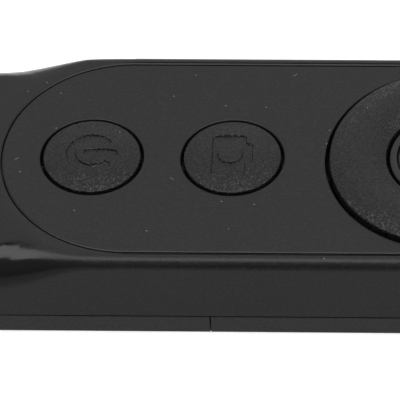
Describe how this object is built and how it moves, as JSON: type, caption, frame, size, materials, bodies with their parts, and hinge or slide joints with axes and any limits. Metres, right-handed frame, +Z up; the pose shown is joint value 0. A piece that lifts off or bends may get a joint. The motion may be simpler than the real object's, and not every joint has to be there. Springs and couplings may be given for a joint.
{
  "type": "bluetooth page turner remote",
  "caption": "Long low handheld remote with a flat stadium land, falling ends, round keys, a rocking ring with a middle key, and a sliding battery door.",
  "frame": {"origin": "middle of the flat underside", "axes": "+X along the housing from the battery door's end towards the ring's end, +Y across it, +Z up out of the keys"},
  "size_m": [0.095, 0.0346, 0.0136],
  "materials": {
    "housing_plastic": "fine matte moulded ABS, smoother at the ends",
    "panel_plastic": "fine spark-eroded matte texture",
    "tray_plastic": "fine matte moulded ABS",
    "key_plastic": "matte texture, a little coarser than the panel",
    "trim_finish": "smooth glossy black plastic",
    "silicone": "dark grey silicone",
    "board_laminate": "green glass-fibre laminate with solder mask",
    "gold_plate": "thin gold plating",
    "tinned_steel": "tin-plated sheet",
    "chip_ceramic": "fired ceramic with tinned ends",
    "lamp_body": "clear epoxy over a white base",
    "clear_plastic": "frosted clear plastic rod",
    "cell_steel": "nickel-plated steel can",
    "holder_plastic": "black moulded plastic",
    "spring_steel": "nickel-plated spring strip",
    "screw_steel": "black-zinc plated steel"
  },
  "bodies": {
    "housing": {"upper_shell": "housing_plastic", "top_panel": "panel_plastic", "lower_shell": "tray_plastic", "keypad_mat": "silicone", "power_dome": "silicone", "camera_dome": "silicone", "centre_dome": "silicone", "circuit_board": "board_laminate", "contact_pads": "gold_plate", "radio_module": "board_laminate", "shield_can": "tinned_steel", "crystal": "tinned_steel", "antenna": "chip_ceramic", "chip_parts": "chip_ceramic", "indicator_led": "lamp_body", "light_pipe": "clear_plastic", "coin_cell": "cell_steel", "cell_holder": "holder_plastic", "positive_clip": "spring_steel", "negative_spring": "gold_plate", "case_screws": "screw_steel", "board_screws": "screw_steel"},
    "door": {"battery_door": "tray_plastic"},
    "power_key": {"power_button": "key_plastic"},
    "camera_key": {"camera_button": "key_plastic"},
    "ring_pad": {"dpad_rubber": "silicone"},
    "ring": {"dpad_ring": "key_plastic"},
    "middle_key": {"centre_button": "key_plastic", "trim_ring": "trim_finish"}
  },
  "joints": [
    {"name": "door_slide", "type": "slide", "parent": "housing", "child": "door", "axis": [-1, 0, 0], "range_m": [0, 0.025]},
    {"name": "power_press", "type": "slide", "parent": "housing", "child": "power_key", "axis": [0, 0, -1], "range_m": [0, 0.0005], "stiffness_N_per_m": 2000, "springref_m": -0.0002, "deforming": ["power_dome"]},
    {"name": "camera_press", "type": "slide", "parent": "housing", "child": "camera_key", "axis": [0, 0, -1], "range_m": [0, 0.0005], "stiffness_N_per_m": 2000, "springref_m": -0.0002, "deforming": ["camera_dome"]},
    {"name": "ring_tilt_x", "type": "hinge", "parent": "housing", "child": "ring_pad", "pos_m": [0.0192, 0, 0.0093], "axis": [1, 0, 0], "range_deg": [-2, 2], "stiffness_Nm_per_rad": 0.6, "deforming": ["dpad_rubber"]},
    {"name": "ring_tilt_y", "type": "hinge", "parent": "ring_pad", "child": "ring", "pos_m": [0.0192, 0, 0.0093], "axis": [0, 1, 0], "range_deg": [-2, 2], "stiffness_Nm_per_rad": 0.6},
    {"name": "middle_press", "type": "slide", "parent": "housing", "child": "middle_key", "axis": [0, 0, -1], "range_m": [0, 0.0005], "stiffness_N_per_m": 2000, "springref_m": -0.0002, "deforming": ["centre_dome"]}
  ]
}
